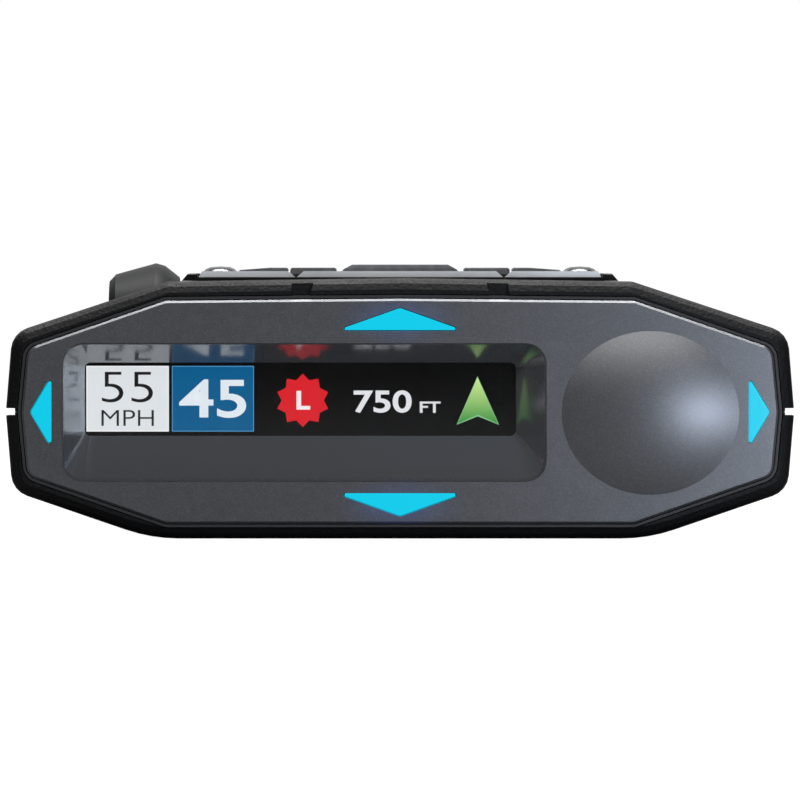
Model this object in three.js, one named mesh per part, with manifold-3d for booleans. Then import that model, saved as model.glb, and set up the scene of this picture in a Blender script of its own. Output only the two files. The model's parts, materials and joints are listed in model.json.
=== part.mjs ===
// Windshield radar detector with a colour display, top keys and a tilting camera barrel.
// Millimetres, +Z up, +X to the driver's right, the driver's face looks along -Y.
// The origin is under the middle of the case, on the surface it stands on.

import * as THREE from 'three';
import { mergeVertices } from 'three/addons/utils/BufferGeometryUtils.js';
import Module from 'manifold-3d';

const wasm = await Module();
wasm.setup();

// ---------------------------------------------------------------- driving dimensions

const caseLength = 140;          // tip of the face dome to the nose window
const caseHalfWidth = 46;
const aboveSeam = 15.2;          // seam between the case halves to the lip's top edge
const belowSeam = 14.8;          // seam to the surface it stands on
const frontY = -caseLength / 2;
const rearY = caseLength / 2;

const domeRise = 1.6;            // how far the face dome stands off the face
const faceY = frontY + domeRise;
const lipBackY = faceY + 5.8;
const shellFrontY = lipBackY + 0.1;
const noseLength = 12;           // depth of the dark nose window
const shellRearY = rearY - noseLength;
const shellWall = 1.8;
const seamGap = 0.06;            // between the two case halves
const fit = 0.1;                 // between pieces that seat on each other
const slip = 0.25;               // around pieces that slide
const moveGap = 0.6;             // around pieces that turn

// Cross sections of the case, seen from the driver. `up` and `down` are heights from the seam.
const lipSection = {
  halfWidth: caseHalfWidth, up: aboveSeam, down: belowSeam, crown: 0.4, lean: 0.75,
  cornerUp: 9.2, cornerDown: 9.25, shoulderIn: 18.9, bellyIn: 17,
  shoulderRadius: 1.4, cornerRadius: 2.8, bellyRadius: 19,
};
const faceSection = {
  halfWidth: caseHalfWidth - 1.9, up: aboveSeam - 2.25, down: belowSeam - 1.8, crown: 0.25, lean: 0.7,
  cornerUp: 7.4, cornerDown: 7.4, shoulderIn: 16.8, bellyIn: 16.8,
  shoulderRadius: 1.2, cornerRadius: 1.6, bellyRadius: 1.6,
};
const shellSection = {
  halfWidth: caseHalfWidth - 1.7, up: aboveSeam - 0.3, down: belowSeam - 0.6, crown: 0.3, lean: 0.7,
  cornerUp: 9, cornerDown: 9, shoulderIn: 17.2, bellyIn: 16.4,
  shoulderRadius: 2, cornerRadius: 2.8, bellyRadius: 12,
};
const waistIn = 0.9;             // how much narrower the shell is at its middle
const tailIn = 3.7;              // and at its rear end
const tailDrop = 2;              // how much lower the roof is at the rear end
const tailLift = 1.2;            // how much higher the floor is at the rear end
const noseWall = 1.5;
const noseIn = 6.8;
const noseDrop = 6.4;
const noseLift = 4.7;

// Face details.
const faceChamfer = 0.25;
const faceThickness = 2.8;
const gasketGap = 0.1;
const gasketWidth = 0.35;
const lipInset = gasketGap + gasketWidth + 0.1;
const notchHeight = 0.88;
const notchDepth = 1.13;
const grooveX = 11.35;           // grooves that cross the lip below the gaps in the key strip
const recess = { left: -39.25, right: 16.96, top: 7.9, bottom: -8, radius: 2.4 };
const windowOpening = { left: -36.9, right: 13.55, top: 5.7, bottom: -2.87, radius: 0.65 };
const recessDepth = 5;
const funnelSteps = 8;
const glassMargin = 1.3;
const glassThickness = 1;
const panelThickness = 1.6;
const boardThickness = 1.6;
const domeCentre = { x: 29.15, z: -0.1 };
const domeWidth = 20.7;
const domeHeight = 19.1;
const arrowSpread = 7.2;         // half of an arrow's base, before its tips are rounded
const arrowRise = 2.55;
const arrowDistanceZ = 9.55;     // seam to the base of the top and bottom arrows
const sideArrowSpread = 3.95;
const sideArrowRise = 2.35;
const sideArrowIn = 3.4;         // face edge to the base of the side arrows
const arrowLength = 3.5;

// Key deck on the roof.
const deckHalfWidth = 25.6;
const deckDepth = 18.4;
const roof = shellSection.up + shellSection.crown;
const deckBottom = roof + 0.05;
const deckTop = roof + 0.86;
const stripBottom = roof + 0.5;
const stripTop = roof + 1.2;
const stripHalfWidth = 23.6;
const stripDepth = 1.6;
const deckNotchX = 12.2;
const deckNotchWidth = 1.85;
const keyTravel = 0.3;
const keyDepth = 8;
const keySeat = deckBottom + keyTravel + fit;
const padRise = 1.6;             // key tops above the roof
const outerPadRise = 1.33;
const mutePadRise = 1.97;
const domeKeyRise = 1.74;
const stemRadius = 1;
const keypadTop = roof - 4.4;
const switchTop = keypadTop + 0.7;
const domeKeyX = 21.2;
const domeKeyRadius = 1.925;

// Camera barrel at the rear left corner.
const cameraFromEnd = 20;
const cameraY = rearY - cameraFromEnd;
const barrelRadius = 7.65;
const barrelRise = 2.05;         // barrel's top above the roof
const cameraZ = roof + barrelRise - barrelRadius;
const barrelOuterIn = 2.4;       // barrel's outer end inside the rear width of the shell
const barrelWidth = 9.2;
const lensRingRadius = 3.9;
const lensRadius = 2.9;
const lensFaceOut = barrelRadius - 1.05;
const pinRadius = 1.5;

// Mount dock in the roof.
const dockY = 20;
const dockWidth = 24;
const dockLength = 26;
const dockDepth = 5.6;
const dockPlateThickness = 0.9;

// Inside and underneath.
const boardTop = 0;
const mainBoardHalfWidth = caseHalfWidth - 10;
const screwX = 24;
const screwFront = 22.5;         // shell front to the front screws
const screwRear = 18;            // shell rear to the rear screws
const screwHeadRadius = 2.3;
const screwShaftRadius = 1.1;
const bossRadius = 3.2;
const footRadius = 4.2;
const footX = 17;
const footHeight = 0.9;
const speakerX = -13.5;
const speakerY = 4;
const speakerRadius = 11;
const speakerHeight = 5;

// Side ports, measured back from the front of the shell.
const powerJackBack = 28;
const powerSocket = { width: 9.6, height: 5, depth: 10.5, z: -5.3 };
const audioJackBack = 44;
const audioBore = 1.75;
const usbBack = 28;
const usbSize = { width: 9, height: 3.2, depth: 9, z: -4.5 };
const cardBack = 46;
const card = { width: 11, height: 1, length: 15, z: -4.5 };

// ---------------------------------------------------------------- shape tools

function point(x, z) {
  return new THREE.Vector2(x, z);
}

// A closed outline with each corner [x, z, radius] rounded by an arc; anticlockwise.
function roundedOutline(corners, steps = 4) {
  const outline = [];
  corners.forEach(([x, z, radius], i) => {
    const corner = point(x, z);
    if (!radius) {
      outline.push(corner);
      return;
    }
    const before = corners[(i + corners.length - 1) % corners.length];
    const after = corners[(i + 1) % corners.length];
    const toBefore = point(before[0], before[1]).sub(corner).normalize();
    const toAfter = point(after[0], after[1]).sub(corner).normalize();
    const halfAngle = Math.acos(toBefore.dot(toAfter)) / 2;
    const bisector = toBefore.clone().add(toAfter).normalize();
    const centre = corner.clone().addScaledVector(bisector, radius / Math.sin(halfAngle));
    const reach = radius / Math.tan(halfAngle);
    const start = corner.clone().addScaledVector(toBefore, reach).sub(centre);
    const end = corner.clone().addScaledVector(toAfter, reach).sub(centre);
    const sweep = Math.atan2(start.cross(end), start.dot(end));
    for (let step = 0; step <= steps; step += 1) {
      outline.push(start.clone().rotateAround(point(0, 0), (sweep * step) / steps).add(centre));
    }
  });
  return outline;
}

function rectangle({ left, right, bottom, top, radius = 0 }, grow = 0, steps = 4) {
  const round = radius && radius + grow;
  return roundedOutline([
    [left - grow, bottom - grow, round],
    [right + grow, bottom - grow, round],
    [right + grow, top + grow, round],
    [left - grow, top + grow, round],
  ], steps);
}

// The eight-sided outline of the case, with a crowned roof and leaning sides.
function caseOutline(s) {
  const right = [
    [s.halfWidth - s.bellyIn, -s.down, s.bellyRadius],
    [s.halfWidth - s.lean, -s.cornerDown, s.cornerRadius],
    [s.halfWidth, 0, 0],
    [s.halfWidth - s.lean, s.cornerUp, s.cornerRadius],
    [s.halfWidth - s.shoulderIn, s.up, s.shoulderRadius],
  ];
  const left = right.map(([x, z, radius]) => [-x, z, radius]).reverse();
  return roundedOutline([[0, -s.down, 0], ...right, [0, s.up + s.crown, 0], ...left]);
}

// Moves every edge of an outline outward by `distance`.
function grown(outline, distance) {
  const count = outline.length;
  return outline.map((here, i) => {
    const along = here.clone().sub(outline[(i + count - 1) % count]).normalize();
    const ahead = outline[(i + 1) % count].clone().sub(here).normalize();
    const normalA = point(along.y, -along.x);
    const normalB = point(ahead.y, -ahead.x);
    const scale = distance / (1 + normalA.dot(normalB));
    return here.clone().addScaledVector(normalA.add(normalB), scale);
  });
}

// A closed solid through convex outlines with equal point counts, from the lowest y to the highest.
function loft(sections) {
  const positions = [];
  const index = [];
  const count = sections[0].outline.length;
  sections.forEach(({ y, outline }) => {
    outline.forEach((p) => positions.push(p.x, y, p.y));
  });
  for (let ring = 0; ring + 1 < sections.length; ring += 1) {
    for (let i = 0; i < count; i += 1) {
      const a = ring * count + i;
      const b = ring * count + ((i + 1) % count);
      index.push(a, a + count, b, b, a + count, b + count);
    }
  }
  [0, sections.length - 1].forEach((ring) => {
    const { y, outline } = sections[ring];
    const centre = outline.reduce((sum, p) => sum.add(p), point(0, 0)).divideScalar(count);
    const hub = positions.length / 3;
    positions.push(centre.x, y, centre.y);
    for (let i = 0; i < count; i += 1) {
      const a = ring * count + i;
      const b = ring * count + ((i + 1) % count);
      index.push(hub, ring ? b : a, ring ? a : b);
    }
  });
  const geometry = new THREE.BufferGeometry();
  geometry.setAttribute('position', new THREE.Float32BufferAttribute(positions, 3));
  geometry.setIndex(index);
  return geometry;
}

function prism(outline, fromY, toY) {
  return loft([{ y: fromY, outline }, { y: toY, outline }]);
}

function box(fromX, toX, fromY, toY, fromZ, toZ) {
  const geometry = new THREE.BoxGeometry(toX - fromX, toY - fromY, toZ - fromZ);
  return geometry.translate((fromX + toX) / 2, (fromY + toY) / 2, (fromZ + toZ) / 2);
}

// A round post along Z.
function post(x, y, radius, fromZ, toZ, sides = 16) {
  const geometry = new THREE.CylinderGeometry(radius, radius, toZ - fromZ, sides);
  return geometry.rotateX(Math.PI / 2).translate(x, y, (fromZ + toZ) / 2);
}

// A round bar along X.
function bar(fromX, toX, y, z, radius, sides = 16) {
  const geometry = new THREE.CylinderGeometry(radius, radius, toX - fromX, sides);
  return geometry.rotateZ(-Math.PI / 2).translate((fromX + toX) / 2, y, z);
}

// A turned solid about Z, from a profile of [radius, height] pairs that starts and ends on the axis.
function turned(profile, sides = 20) {
  const points = profile.map(([radius, height]) => point(radius, height));
  return new THREE.LatheGeometry(points, sides).rotateX(Math.PI / 2);
}

function toSolid(geometry) {
  const bare = geometry.clone();
  bare.deleteAttribute('normal');
  bare.deleteAttribute('uv');
  const merged = mergeVertices(bare, 1e-5);
  const mesh = new wasm.Mesh({
    numProp: 3,
    vertProperties: Float32Array.from(merged.attributes.position.array),
    triVerts: Uint32Array.from(merged.index.array),
  });
  return new wasm.Manifold(mesh);
}

function toGeometry(solid) {
  const mesh = solid.getMesh();
  const geometry = new THREE.BufferGeometry();
  geometry.setAttribute('position', new THREE.BufferAttribute(mesh.vertProperties, 3));
  geometry.setIndex(new THREE.BufferAttribute(mesh.triVerts, 1));
  return geometry;
}

function join(...geometries) {
  return toGeometry(geometries.map(toSolid).reduce((sum, solid) => sum.add(solid)));
}

function cut(geometry, ...cutters) {
  return toGeometry(cutters.map(toSolid).reduce((rest, solid) => rest.subtract(solid), toSolid(geometry)));
}

function shared(a, b) {
  return toGeometry(toSolid(a).intersect(toSolid(b)));
}

const finishes = {
  satinFace: { color: 0x5b5d62, roughness: 0.38, metalness: 0.6 },
  rubber: { color: 0x1c1c1d, roughness: 0.85, metalness: 0 },
  shell: { color: 0x222324, roughness: 0.62, metalness: 0 },
  gloss: { color: 0x0a0a0b, roughness: 0.18, metalness: 0 },
  strip: { color: 0x8d8f92, roughness: 0.4, metalness: 0.3 },
  key: { color: 0x3c3d3f, roughness: 0.55, metalness: 0 },
  glass: { color: 0x101214, roughness: 0.05, metalness: 0 },
  glow: { color: 0x00cce6, roughness: 0.3, metalness: 0 },
  board: { color: 0x174a2a, roughness: 0.5, metalness: 0 },
  steel: { color: 0xa8abae, roughness: 0.35, metalness: 0.9 },
  cast: { color: 0x8a8c8e, roughness: 0.55, metalness: 0.8 },
  gold: { color: 0xc9a24a, roughness: 0.3, metalness: 0.9 },
  pod: { color: 0x3d3f41, roughness: 0.6, metalness: 0 },
  nose: { color: 0x140b0c, roughness: 0.1, metalness: 0 },
  ceramic: { color: 0xb9a98a, roughness: 0.6, metalness: 0 },
};

const device = new THREE.Group();
device.position.z = belowSeam;

function add(name, finish, geometry) {
  const mesh = new THREE.Mesh(geometry, new THREE.MeshStandardMaterial(finishes[finish]));
  mesh.name = name;
  device.add(mesh);
  return mesh;
}

// ---------------------------------------------------------------- derived places

const faceOutline = caseOutline(faceSection);
const lipInner = grown(faceOutline, lipInset);
const glassBackY = faceY + recessDepth + fit + glassThickness;
const panelBackY = glassBackY + fit + panelThickness;
const boardFrontY = panelBackY + 0.3;
const boardBackY = boardFrontY + boardThickness;
const waistY = (shellFrontY + shellRearY) / 2;
const flatEndY = shellRearY - 14;
const screwRows = [shellFrontY + screwFront, shellRearY - screwRear];
const screwPlaces = screwRows.flatMap((y) => [[-screwX, y], [screwX, y]]);
const footPlaces = [shellFrontY + 9, flatEndY - 7].flatMap((y) => [[-footX, y], [footX, y]]);
const barrelLeft = -(shellSection.halfWidth - tailIn - barrelOuterIn);
const barrelRight = barrelLeft + barrelWidth;
const cheekX = barrelRight + moveGap;
const cameraReach = Math.hypot(lensFaceOut + 1, lensRingRadius) + moveGap;
const far = caseLength + 100;

function shellOutline(side, drop, lift) {
  return caseOutline({
    ...shellSection,
    halfWidth: shellSection.halfWidth - side,
    up: shellSection.up - drop,
    down: shellSection.down - lift,
    cornerUp: shellSection.cornerUp - drop / 2,
    cornerDown: shellSection.cornerDown - lift / 2,
  });
}

// The shell's outer shape, or with an inset the space inside it, run past both ends by `overrun`.
function shellBody(inset, overrun = 0) {
  const front = grown(shellOutline(0, 0, 0), -inset);
  const rear = grown(shellOutline(tailIn, tailDrop, tailLift), -inset);
  const rings = [
    { y: shellFrontY, outline: front },
    { y: waistY, outline: grown(shellOutline(waistIn, 0, 0), -inset) },
    { y: flatEndY, outline: grown(shellOutline(tailIn * 0.7, tailDrop / 4, 0), -inset) },
    { y: shellRearY, outline: rear },
  ];
  if (overrun) {
    rings.unshift({ y: shellFrontY - overrun, outline: front });
    rings.push({ y: shellRearY + overrun, outline: rear });
  }
  return loft(rings);
}

function noseBody(inset, overrun = 0) {
  const front = grown(shellOutline(tailIn, tailDrop, tailLift), -inset);
  const rings = [
    { y: shellRearY + fit, outline: front },
    { y: rearY - 3, outline: grown(shellOutline(noseIn - 1, noseDrop - 1.6, noseLift - 1.4), -inset) },
    { y: rearY - inset, outline: grown(shellOutline(noseIn, noseDrop, noseLift), -inset) },
  ];
  if (overrun) {
    rings.unshift({ y: shellRearY - overrun, outline: front });
  }
  return loft(rings);
}

// The corner cleared for the camera barrel to turn in; `wall` grows it into the pocket's own walls.
function cameraPocket(wall) {
  return box(-far, cheekX + wall, cameraY - cameraReach - wall, far, cameraZ - cameraReach - wall, far);
}

function dockPocket(wall) {
  const floor = shellSection.up - dockDepth - wall;
  const halfWidth = dockWidth / 2 + wall;
  const halfLength = dockLength / 2 + wall;
  return box(-halfWidth, halfWidth, dockY - halfLength, dockY + halfLength, floor, far);
}

function socketBox(port, y, fromX, toX, margin) {
  const halfWidth = port.width / 2 + margin;
  const halfHeight = port.height / 2 + margin;
  return box(fromX, toX, y - halfWidth, y + halfWidth, port.z - halfHeight, port.z + halfHeight);
}

// ---------------------------------------------------------------- front of the case

function arrow(baseX, baseZ, outX, outZ, spread, rise, grow) {
  const acrossX = -outZ;
  const acrossZ = outX;
  const corner = (across, out, radius) => [
    baseX + acrossX * across + outX * out,
    baseZ + acrossZ * across + outZ * out,
    radius,
  ];
  const outline = [
    corner(-spread, 0, 0.15),
    corner(0, rise, 0.6),
    corner(spread, 0, 0.15),
  ];
  return grown(roundedOutline(outline, 3), grow);
}

const arrows = {
  top: (grow) => arrow(0, arrowDistanceZ, 0, 1, arrowSpread, arrowRise, grow),
  bottom: (grow) => arrow(0, -arrowDistanceZ, 0, -1, arrowSpread, arrowRise, grow),
  left: (grow) => arrow(sideArrowIn - faceSection.halfWidth, 0, -1, 0, sideArrowSpread, sideArrowRise, grow),
  right: (grow) => arrow(faceSection.halfWidth - sideArrowIn, 0, 1, 0, sideArrowSpread, sideArrowRise, grow),
};

function faceDome() {
  const steps = 8;
  const halfWidth = domeWidth / 2;
  const sphere = (halfWidth * halfWidth + domeRise * domeRise) / (2 * domeRise);
  const profile = [[0, -1], [halfWidth, -1]];
  for (let step = steps; step >= 0; step -= 1) {
    const radius = (halfWidth * step) / steps;
    profile.push([radius, Math.sqrt(sphere * sphere - radius * radius) - sphere + domeRise]);
  }
  const dome = turned(profile, 56).rotateX(Math.PI / 2);
  return dome.scale(1, 1, domeHeight / domeWidth).translate(domeCentre.x, faceY, domeCentre.z);
}

function frontBezel() {
  const plate = loft([
    { y: faceY, outline: grown(faceOutline, -faceChamfer) },
    { y: faceY + faceChamfer, outline: faceOutline },
    { y: lipBackY, outline: faceOutline },
  ]);
  const hollow = prism(grown(faceOutline, -1.4), faceY + faceThickness, lipBackY + 1);
  const surround = prism(rectangle(recess, 1.2), faceY + 1, faceY + recessDepth);
  const funnel = loft([
    { y: faceY - 0.5, outline: rectangle(recess, 0.3, funnelSteps) },
    { y: faceY, outline: rectangle(recess, 0.15, funnelSteps) },
    { y: faceY + 0.15, outline: rectangle(recess, 0, funnelSteps) },
    { y: faceY + recessDepth, outline: rectangle(windowOpening, 0, funnelSteps) },
    { y: faceY + recessDepth + 1, outline: rectangle(windowOpening, 0, funnelSteps) },
  ]);
  const arrowHoles = Object.values(arrows).map((shape) => prism(shape(fit), faceY - 1, lipBackY));
  return cut(join(cut(plate, hollow), surround, faceDome()), funnel, ...arrowHoles);
}

function faceGasket() {
  const outer = prism(grown(faceOutline, gasketGap + gasketWidth), faceY + 0.4, lipBackY - 1);
  return cut(outer, prism(grown(faceOutline, gasketGap), faceY - 1, lipBackY));
}

function lipHalf(side) {
  const lipTop = lipSection.up;
  const outline = caseOutline(lipSection);
  const ring = loft([
    { y: faceY + 0.4, outline: grown(outline, -1.3) },
    { y: faceY + 0.75, outline: grown(outline, -0.6) },
    { y: faceY + 1.2, outline: grown(outline, -0.2) },
    { y: faceY + 1.9, outline },
    { y: lipBackY, outline },
  ]);
  const notchX = lipSection.halfWidth - notchDepth;
  const notches = [-1, 1].map((hand) => box(
    Math.min(hand * notchX, hand * far),
    Math.max(hand * notchX, hand * far),
    frontY - 1,
    lipBackY + 1,
    -notchHeight / 2,
    notchHeight / 2,
  ));
  const grooves = [-1, 1].map((hand) => {
    const corners = [
      [grooveX + 1.35, lipTop - 2.2, 0], [grooveX + 1.25, lipTop + 0.1, 0],
      [grooveX - 1.35, lipTop + 0.1, 0], [grooveX - 0.7, lipTop - 2.2, 0],
    ];
    const groove = roundedOutline(corners.map(([x, z, radius]) => [hand * x, z, radius]));
    return prism(hand > 0 ? groove : groove.reverse(), frontY, faceY + 0.95);
  });
  const otherHalf = side > 0
    ? box(-far, far, frontY - 1, lipBackY + 1, -far, seamGap / 2)
    : box(-far, far, frontY - 1, lipBackY + 1, -seamGap / 2, far);
  const inner = prism(lipInner, frontY - 1, lipBackY + 1);
  return cut(ring, inner, otherHalf, ...notches, ...(side > 0 ? grooves : []));
}

function displayStack() {
  const glass = rectangle(windowOpening, glassMargin);
  add('display_window', 'glass', prism(glass, faceY + recessDepth + fit, glassBackY));
  const panel = rectangle(windowOpening, glassMargin + 0.5);
  add('display_panel', 'gloss', prism(panel, glassBackY + fit, panelBackY));
  add('display_board', 'board', box(
    recess.left, recess.right, boardFrontY, boardBackY, recess.bottom, recess.top,
  ));
}

function arrowLights() {
  Object.entries(arrows).forEach(([side, shape]) => {
    const backY = faceY + fit + arrowLength;
    add(`arrow_light_${side}`, 'glow', prism(shape(0), faceY + fit, backY));
    const outline = shape(0);
    const centre = outline.reduce((sum, p) => sum.add(p), point(0, 0)).divideScalar(outline.length);
    add(`arrow_led_${side}`, 'ceramic', box(
      centre.x - 0.8, centre.x + 0.8, backY + 0.3, backY + 1.1, centre.y - 0.5, centre.y + 0.5,
    ));
  });
}

// ---------------------------------------------------------------- case halves and nose

function keyHoles() {
  return keys.map(({ x }) => post(x, keyY, stemRadius + slip, keypadTop, far, 12));
}

function upperShell() {
  const lower = box(-far, far, -far, far, -far, seamGap / 2);
  const inside = cut(shellBody(shellWall, 1), cameraPocket(shellWall), dockPocket(shellWall));
  const hollow = cut(shellBody(0), lower, inside);
  const bosses = screwPlaces.map(([x, y]) => shared(
    post(x, y, bossRadius, 0.3, far), shellBody(shellWall / 2),
  ));
  const pilots = screwPlaces.map(([x, y]) => post(x, y, screwShaftRadius + fit, -1, 8, 12));
  return cut(join(hollow, ...bosses), cameraPocket(0), dockPocket(0), ...pilots, ...keyHoles());
}

function speakerSlots() {
  return [-2, -1, 0, 1, 2].map((row) => {
    const half = Math.sqrt(speakerRadius * speakerRadius * 0.7 - (row * 3) ** 2);
    const y = speakerY + row * 3;
    return box(speakerX - half, speakerX + half, y - 0.6, y + 0.6, -far, -shellSection.down + shellWall + 1);
  });
}

function lowerShell() {
  const upper = box(-far, far, -far, far, -seamGap / 2, far);
  const hollow = cut(shellBody(0), upper, shellBody(shellWall, 1));
  const bosses = screwPlaces.map(([x, y]) => shared(
    post(x, y, bossRadius, -far, boardTop - boardThickness - fit), shellBody(shellWall / 2),
  ));
  const screwHoles = screwPlaces.flatMap(([x, y]) => [
    post(x, y, screwShaftRadius + slip, -far, 1, 12),
    post(x, y, screwHeadRadius + slip, -far, -shellSection.down + 2.1),
  ]);
  const footSeats = footPlaces.map(([x, y]) => (
    post(x, y, footRadius + slip, -far, footHeight + fit - belowSeam)
  ));
  const vents = [0, 1, 2, 3, 4, 5].flatMap((row) => {
    const y = flatEndY - 30 + row * 3.2;
    return [
      box(-far, wallInnerX(y, -1) + 3, y - 0.6, y + 0.6, -7.2, -2.6),
      box(wallInnerX(y, 1) - 3, far, y - 0.6, y + 0.6, -7.2, -2.6),
    ];
  });
  const label = box(-11, 11, flatEndY - 34, flatEndY - 16, -far, -shellSection.down + 0.5);
  const ports = [
    jackHousing(fit),
    socketBox(powerSocket, powerJackY, -far, wallInnerX(powerJackY, -1) + 1, 0.3),
    bar(-far, wallInnerX(audioJackY, -1) + 1, audioJackY, audioJackZ, audioJackRadius + slip),
    socketBox(usbSize, usbY, wallInnerX(usbY, 1) - 1, far, 0.3),
    socketBox(card, cardY, wallInnerX(cardY, 1) - 1, far, slip),
  ];
  const slots = [...speakerSlots(), ...vents];
  return cut(join(hollow, ...bosses), label, ...screwHoles, ...footSeats, ...slots, ...ports);
}

function noseWindow() {
  return cut(noseBody(0), cut(noseBody(noseWall, 1), cameraPocket(noseWall)), cameraPocket(0));
}

// ---------------------------------------------------------------- keys

const keyY = shellFrontY + fit + stripDepth + 1 + keyDepth / 2;
const deckFrontY = shellFrontY + fit;

// Each key's profile across the deck: [x, height above the roof] over its top from left to right.
const keys = [
  { name: 'power_key', x: -domeKeyX, dome: true },
  {
    name: 'volume_down_key',
    x: -16.2,
    profile: [[-18.95, outerPadRise], [-15.4, padRise], [-13.2, padRise]],
  },
  { name: 'volume_up_key', x: -10.1, profile: [[-12.9, padRise], [-7.5, padRise]] },
  {
    name: 'mute_key',
    x: 0,
    profile: [[-6.8, outerPadRise], [-5.65, mutePadRise], [5.65, mutePadRise], [6.8, outerPadRise]],
  },
  { name: 'brightness_key', x: 10.1, profile: [[7.5, padRise], [12.9, padRise]] },
  {
    name: 'sensitivity_key',
    x: 16.2,
    profile: [[13.2, padRise], [15.4, padRise], [18.95, outerPadRise]],
  },
  { name: 'mark_key', x: domeKeyX, dome: true },
];

function keyCap(key, grow, fromZ) {
  if (key.dome) {
    return post(key.x, keyY, domeKeyRadius + grow, fromZ, grow ? far : roof + domeKeyRise - 0.6, 24);
  }
  const first = key.profile[0];
  const last = key.profile[key.profile.length - 1];
  const halfDepth = keyDepth / 2 + grow;
  if (grow) {
    return box(first[0] - grow, last[0] + grow, keyY - halfDepth, keyY + halfDepth, fromZ, far);
  }
  const top = [...key.profile].reverse().map(([x, rise]) => [x, roof + rise, 0.25]);
  const corners = [[first[0], fromZ, 0], [last[0], fromZ, 0], ...top];
  return prism(roundedOutline(corners, 2), keyY - halfDepth, keyY + halfDepth);
}

function domeCrown(key) {
  const crown = turned([
    [0, 0], [domeKeyRadius, 0], [domeKeyRadius, 0.15], [1.65, 0.42], [1.1, 0.62], [0, 0.69],
  ], 24);
  return crown.translate(key.x, keyY, roof + domeKeyRise - 0.69);
}

function addKeys() {
  keys.forEach((key) => {
    const stem = post(key.x, keyY, stemRadius, switchTop + keyTravel + fit, keySeat + 0.2, 12);
    const pieces = [keyCap(key, 0, keySeat), stem];
    if (key.dome) {
      pieces.push(domeCrown(key));
    }
    add(key.name, key.dome ? 'gloss' : 'key', join(...pieces));
  });
  const switches = keys.map(({ x }) => box(x - 2, x + 2, keyY - 2, keyY + 2, keypadTop - 0.2, switchTop));
  const board = box(-stripHalfWidth, stripHalfWidth, keyY - 5, keyY + 5, keypadTop - 0.8, keypadTop);
  add('keypad_board', 'board', join(board, ...switches));
}

function controlDeck() {
  const slant = 0.7;
  const outline = [
    point(-deckHalfWidth, deckBottom),
    point(deckHalfWidth, deckBottom),
    point(deckHalfWidth - slant, deckTop),
    point(slant - deckHalfWidth, deckTop),
  ];
  const plate = prism(outline, deckFrontY, deckFrontY + deckDepth);
  const step = box(
    -stripHalfWidth - fit, stripHalfWidth + fit, frontY, deckFrontY + stripDepth + fit,
    stripBottom - 0.05, far,
  );
  const caps = [-1, 1].map((hand) => box(
    Math.min(hand * 23.9, hand * 24.9), Math.max(hand * 23.9, hand * 24.9),
    deckFrontY + 0.2, deckFrontY + deckDepth, deckTop - 0.3, deckTop + 0.05,
  ));
  return cut(join(plate, ...caps), step, ...keys.map((key) => keyCap(key, slip, deckBottom - 1)));
}

function deckStrips() {
  const half = deckNotchWidth / 2;
  const places = {
    left: [-stripHalfWidth, -deckNotchX - 0.1, -deckNotchX - half, 0.4 - stripHalfWidth],
    centre: [-deckNotchX + 0.1, deckNotchX - 0.1, deckNotchX - half, -deckNotchX + half],
    right: [deckNotchX + 0.1, stripHalfWidth, stripHalfWidth - 0.4, deckNotchX + half],
  };
  Object.entries(places).forEach(([side, [footLeft, footRight, topRight, topLeft]]) => {
    const outline = [
      point(footLeft, stripBottom), point(footRight, stripBottom),
      point(topRight, stripTop), point(topLeft, stripTop),
    ];
    add(`deck_strip_${side}`, 'strip', prism(outline, deckFrontY, deckFrontY + stripDepth));
  });
}

// ---------------------------------------------------------------- camera barrel

function cameraBarrel() {
  const outer = barrelRadius - 2.35;
  const profile = [
    [0, 0], [outer, 0], [outer + 0.9, 0.85], [barrelRadius, barrelWidth - 3.1],
    [barrelRadius - 0.35, barrelWidth - 1.9], [barrelRadius - 1.85, barrelWidth], [0, barrelWidth],
  ];
  const body = turned(profile, 32).rotateY(Math.PI / 2).translate(barrelLeft, cameraY, cameraZ);
  const flat = box(-far, far, cameraY + lensFaceOut, far, -far, far);
  const bore = bar(barrelRight - 5.5, barrelRight + 1, cameraY, cameraZ, pinRadius + 0.3);
  const seat = ringAlongY(0, lensRadius + 0.4, lensFaceOut - 1.5, lensFaceOut + 1);
  return cut(body, flat, bore, seat);
}

function ringAlongY(innerRadius, outerRadius, fromOut, toOut) {
  const ring = new THREE.CylinderGeometry(outerRadius, outerRadius, toOut - fromOut, 24);
  ring.translate(0, (fromOut + toOut) / 2, 0);
  const placed = ring.translate((barrelLeft + barrelRight) / 2, cameraY, cameraZ);
  if (!innerRadius) {
    return placed;
  }
  return cut(placed, ringAlongY(0, innerRadius, fromOut - 1, toOut + 1));
}

function camera() {
  add('camera_barrel', 'pod', cameraBarrel());
  const ringFront = lensFaceOut + 0.9;
  add('camera_ring', 'gloss', ringAlongY(lensRadius + 0.1, lensRingRadius, lensFaceOut + fit, ringFront));
  const bulge = turned([[0, 0], [lensRadius, 0], [lensRadius, 1.5], [lensRadius * 0.6, 1.85], [0, 2]], 20);
  bulge.rotateX(-Math.PI / 2);
  bulge.translate((barrelLeft + barrelRight) / 2, cameraY + lensFaceOut - 1.4, cameraZ);
  add('camera_lens', 'glass', bulge);
  add('camera_pin', 'steel', bar(barrelRight - 5, cheekX - fit, cameraY, cameraZ, pinRadius));
}

// ---------------------------------------------------------------- dock, ports and insides

const powerJackY = shellFrontY + powerJackBack;
const audioJackY = shellFrontY + audioJackBack;
const usbY = shellFrontY + usbBack;
const cardY = shellFrontY + cardBack;
const audioJackRadius = 2.6;
const audioJackZ = boardTop - boardThickness - audioJackRadius - 0.3;

// Inner face of the shell's side wall at a given y.
function wallInnerX(y, hand) {
  const share = Math.max(0, Math.min(1, (y - shellFrontY) / (waistY - shellFrontY)));
  return hand * (shellSection.halfWidth - shellSection.lean - waistIn * share - shellWall);
}

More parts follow.
